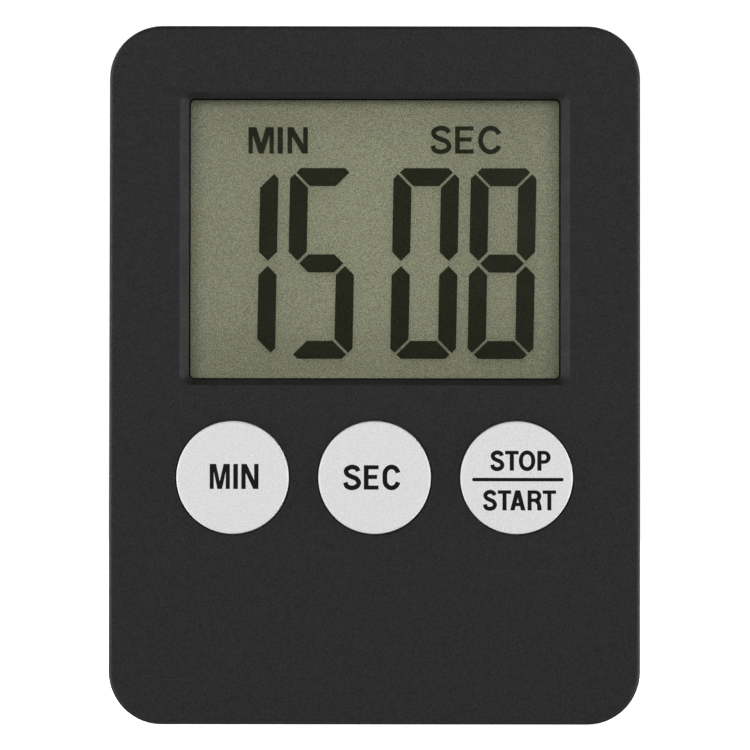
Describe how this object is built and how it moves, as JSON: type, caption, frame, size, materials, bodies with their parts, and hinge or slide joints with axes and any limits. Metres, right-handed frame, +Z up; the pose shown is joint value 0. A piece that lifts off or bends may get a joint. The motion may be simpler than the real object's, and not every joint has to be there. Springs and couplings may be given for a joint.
{
  "type": "magnetic countdown timer",
  "caption": "Thin upright countdown timer with a recessed display over a row of round push buttons, a fold-out back stand and magnets.",
  "frame": {"origin": "on the surface the timer stands on, under the middle of its box", "axes": "+Z up the timer's long side, +Y from the front face to the back, +X to the right as seen from the front"},
  "size_m": [0.065, 0.0104, 0.0855],
  "materials": {
    "case_plastic": "fine matte texture, dark grey to black",
    "button_plastic": "smooth satin white",
    "clear_window": "clear acrylic with a fine anti-glare surface",
    "polarizer_film": "grey-green film",
    "display_glass": "clear",
    "seal_epoxy": "cured resin",
    "reflector_film": "fine-grained olive grey",
    "frame_plastic": "moulded, natural white",
    "zebra_rubber": "striped silicone",
    "black_tape": "double-sided tape",
    "board_laminate": "green solder mask",
    "plated_copper": "gold-plated",
    "chip_resin": "black resin",
    "capacitor_ceramic": "tan ceramic",
    "resistor_ceramic": "dark glaze",
    "keypad_rubber": "translucent grey silicone",
    "carbon_rubber": "carbon-filled",
    "cell_steel": "nickel-plated",
    "nickel": "nickel-plated",
    "screw_steel": "zinc-plated",
    "buzzer_brass": "bright",
    "buzzer_ceramic": "silvered",
    "wire_red": "insulated",
    "wire_black": "insulated"
  },
  "bodies": {
    "case": {"front_case": "case_plastic", "rear_cover": "case_plastic", "magnets": "nickel", "case_screws": "screw_steel", "board_screws": "screw_steel", "display_window": "clear_window", "window_adhesive": "black_tape", "lcd_front_polarizer": "polarizer_film", "lcd_front_glass": "display_glass", "lcd_rear_glass": "display_glass", "lcd_seal": "seal_epoxy", "lcd_reflector": "reflector_film", "lcd_frame": "frame_plastic", "zebra_strip": "zebra_rubber", "circuit_board": "board_laminate", "switch_pads": "plated_copper", "controller_chip": "chip_resin", "crystal": "nickel", "chip_capacitors": "capacitor_ceramic", "chip_resistors": "resistor_ceramic", "keypad_sheet": "keypad_rubber", "battery_cell": "cell_steel", "battery_contact_negative": "nickel", "battery_contact_positive": "nickel", "buzzer_plate": "buzzer_brass", "buzzer_ceramic": "buzzer_ceramic", "buzzer_wire_red": "wire_red", "buzzer_wire_black": "wire_black", "keypad_web_minutes": "keypad_rubber", "keypad_web_seconds": "keypad_rubber", "keypad_web_start_stop": "keypad_rubber"},
    "stand": {"stand": "case_plastic"},
    "battery_door": {"battery_door": "case_plastic"},
    "button_minutes": {"button_minutes": "button_plastic", "keypad_plunger_minutes": "keypad_rubber", "contact_pill_minutes": "carbon_rubber"},
    "button_seconds": {"button_seconds": "button_plastic", "keypad_plunger_seconds": "keypad_rubber", "contact_pill_seconds": "carbon_rubber"},
    "button_start_stop": {"button_start_stop": "button_plastic", "keypad_plunger_start_stop": "keypad_rubber", "contact_pill_start_stop": "carbon_rubber"}
  },
  "joints": [
    {"name": "minutes_press", "type": "slide", "parent": "case", "child": "button_minutes", "axis": [0, 1, 0], "range_m": [0, 0.0008], "stiffness_N_per_m": 1000, "deforming": ["keypad_web_minutes"]},
    {"name": "seconds_press", "type": "slide", "parent": "case", "child": "button_seconds", "axis": [0, 1, 0], "range_m": [0, 0.0008], "stiffness_N_per_m": 1000, "deforming": ["keypad_web_seconds"]},
    {"name": "start_stop_press", "type": "slide", "parent": "case", "child": "button_start_stop", "axis": [0, 1, 0], "range_m": [0, 0.0008], "stiffness_N_per_m": 1000, "deforming": ["keypad_web_start_stop"]},
    {"name": "stand_fold", "type": "hinge", "parent": "case", "child": "stand", "pos_m": [0, 0.00405, 0.04], "axis": [1, 0, 0], "range_deg": [0, 38]},
    {"name": "battery_door_turn", "type": "hinge", "parent": "case", "child": "battery_door", "pos_m": [-0.021, 0.00445, 0.013], "axis": [0, 1, 0], "range_deg": [0, 50]}
  ]
}
